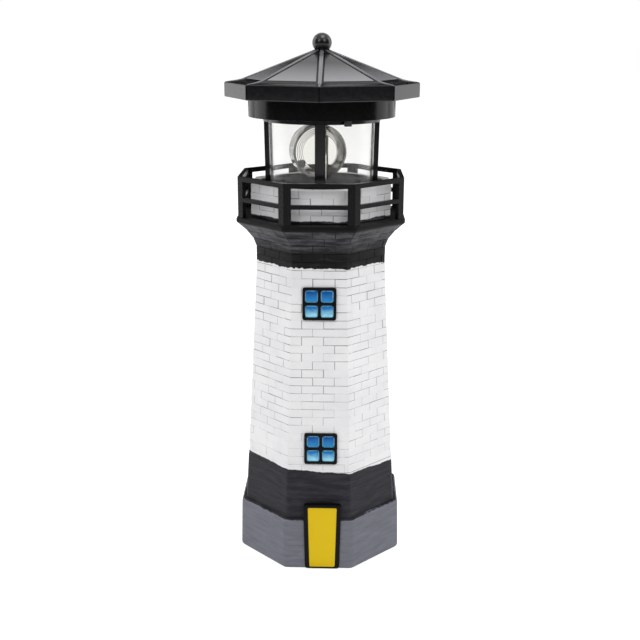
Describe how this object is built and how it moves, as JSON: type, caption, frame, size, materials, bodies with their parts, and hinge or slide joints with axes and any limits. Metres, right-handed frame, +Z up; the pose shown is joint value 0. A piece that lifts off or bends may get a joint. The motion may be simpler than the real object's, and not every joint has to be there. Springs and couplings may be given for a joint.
{
  "type": "garden lighthouse ornament",
  "caption": "Garden lighthouse ornament: hollow tapered octagonal tower, corbelled gallery with railing, lift-out glazed lantern with a motor-turned lens, solar roof and finial ball",
  "frame": {"origin": "centre of the base on the ground", "axes": "+Z up the tower, -Y towards the door, +X to the right seen from the door"},
  "size_m": [0.098, 0.098, 0.27],
  "materials": {
    "painted_casting": "matte paint over cast stone-filled resin",
    "black_plastic": "gloss",
    "dark_plastic": "satin",
    "white_plastic": "satin",
    "clear_plastic": "clear, polished",
    "solar_cell": "amorphous cell under a clear coat",
    "steel": "plain",
    "brass": "plain",
    "rubber": "matte",
    "wire_insulation": "satin",
    "lamp_epoxy": "clear",
    "board_laminate": "solder resist",
    "component_plastic": "matte",
    "battery_sleeve": "plain printed sleeve without lettering"
  },
  "bodies": {
    "tower": {"tower_shell": "painted_casting", "gallery_railing": "black_plastic"},
    "head": {"deck_plate": "black_plastic", "bearing_bush": "brass", "gear_housing": "dark_plastic", "housing_cover": "dark_plastic", "cover_screws": "steel", "lantern_frame": "black_plastic", "post_screws": "steel", "glazing": "clear_plastic", "feed_wires": "wire_insulation", "led_stalk": "dark_plastic", "led_lamp": "lamp_epoxy", "lamp_leads": "wire_insulation", "gear_motor": "steel", "motor_bracket": "white_plastic", "bracket_screws": "steel", "battery_drum": "black_plastic", "drum_gasket": "rubber", "circuit_board": "board_laminate", "board_components": "component_plastic", "board_screws": "steel", "battery_cradle": "dark_plastic", "battery_cell": "battery_sleeve", "contact_plate": "steel", "contact_spring": "steel", "switch_body": "steel", "roof_shell": "black_plastic", "finial_ball": "black_plastic", "roof_screws": "steel", "solar_cell_1": "solar_cell", "solar_cell_2": "solar_cell", "solar_cell_3": "solar_cell", "solar_cell_4": "solar_cell", "solar_cell_5": "solar_cell", "solar_cell_6": "solar_cell", "solar_cell_7": "solar_cell", "solar_cell_8": "solar_cell"},
    "lens": {"turntable": "black_plastic", "lens_hoop": "clear_plastic", "fresnel_lens": "clear_plastic", "drive_gear": "white_plastic", "retaining_clip": "steel"},
    "motor_rotor": {"motor_pinion": "brass", "motor_shaft": "steel"},
    "switch": {"switch_slider": "black_plastic"}
  },
  "joints": [
    {"name": "head_lift", "type": "slide", "parent": "tower", "child": "head", "axis": [0, 0, 1], "range_m": [0, 0.035]},
    {"name": "lens_spin", "type": "hinge", "parent": "head", "child": "lens", "pos_m": [0, 0, 0.195], "axis": [0, 0, 1], "continuous": true},
    {"name": "motor_spin", "type": "hinge", "parent": "head", "child": "motor_rotor", "pos_m": [0.0156, 0, 0.19], "axis": [0, 0, 1], "continuous": true},
    {"name": "switch_slide", "type": "slide", "parent": "head", "child": "switch", "axis": [0.8973, 0.4415, 0], "range_m": [0, 0.002]}
  ],
  "couplings": [
    {"joint": "motor_spin", "follows": "lens_spin", "ratio": -3.3333}
  ]
}
